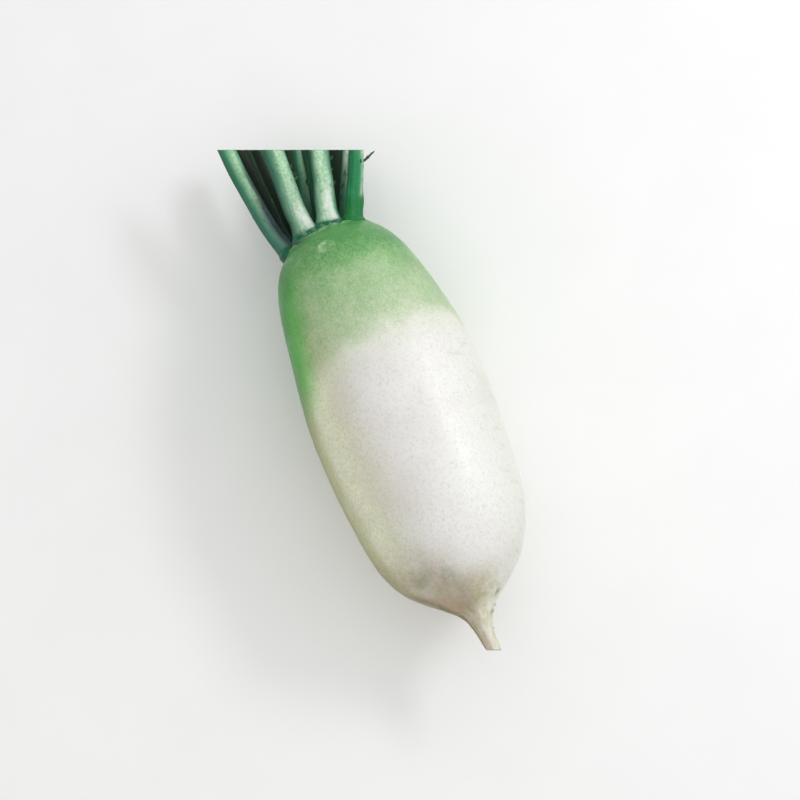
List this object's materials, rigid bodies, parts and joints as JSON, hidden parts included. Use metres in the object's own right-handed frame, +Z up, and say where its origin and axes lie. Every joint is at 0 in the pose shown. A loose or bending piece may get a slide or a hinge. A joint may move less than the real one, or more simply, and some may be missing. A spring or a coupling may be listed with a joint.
{
  "type": "daikon radish",
  "caption": "Plump green-shouldered daikon radish lying on its side, white root with a thin tail and trimmed green leaf stalks.",
  "frame": {"origin": "on the surface that the radish lies on, under the middle of its box", "axes": "+X along the root from the tail to the crown and its leaf stalks, +Y across, +Z up away from the surface"},
  "size_m": [0.3038, 0.0952, 0.0921],
  "materials": {
    "root_skin": "satin",
    "leaf_stalk": "satin",
    "young_stalk": "satin"
  },
  "bodies": {
    "root": {"root": "root_skin", "leaf_stalk_1": "leaf_stalk", "leaf_stalk_2": "leaf_stalk", "leaf_stalk_3": "leaf_stalk", "leaf_stalk_4": "leaf_stalk", "leaf_stalk_5": "leaf_stalk", "leaf_stalk_6": "leaf_stalk", "leaf_stalk_7": "leaf_stalk", "leaf_stalk_8": "leaf_stalk", "inner_stalk_1": "young_stalk", "inner_stalk_2": "young_stalk", "inner_stalk_3": "young_stalk", "inner_stalk_4": "young_stalk"}
  },
  "joints": []
}
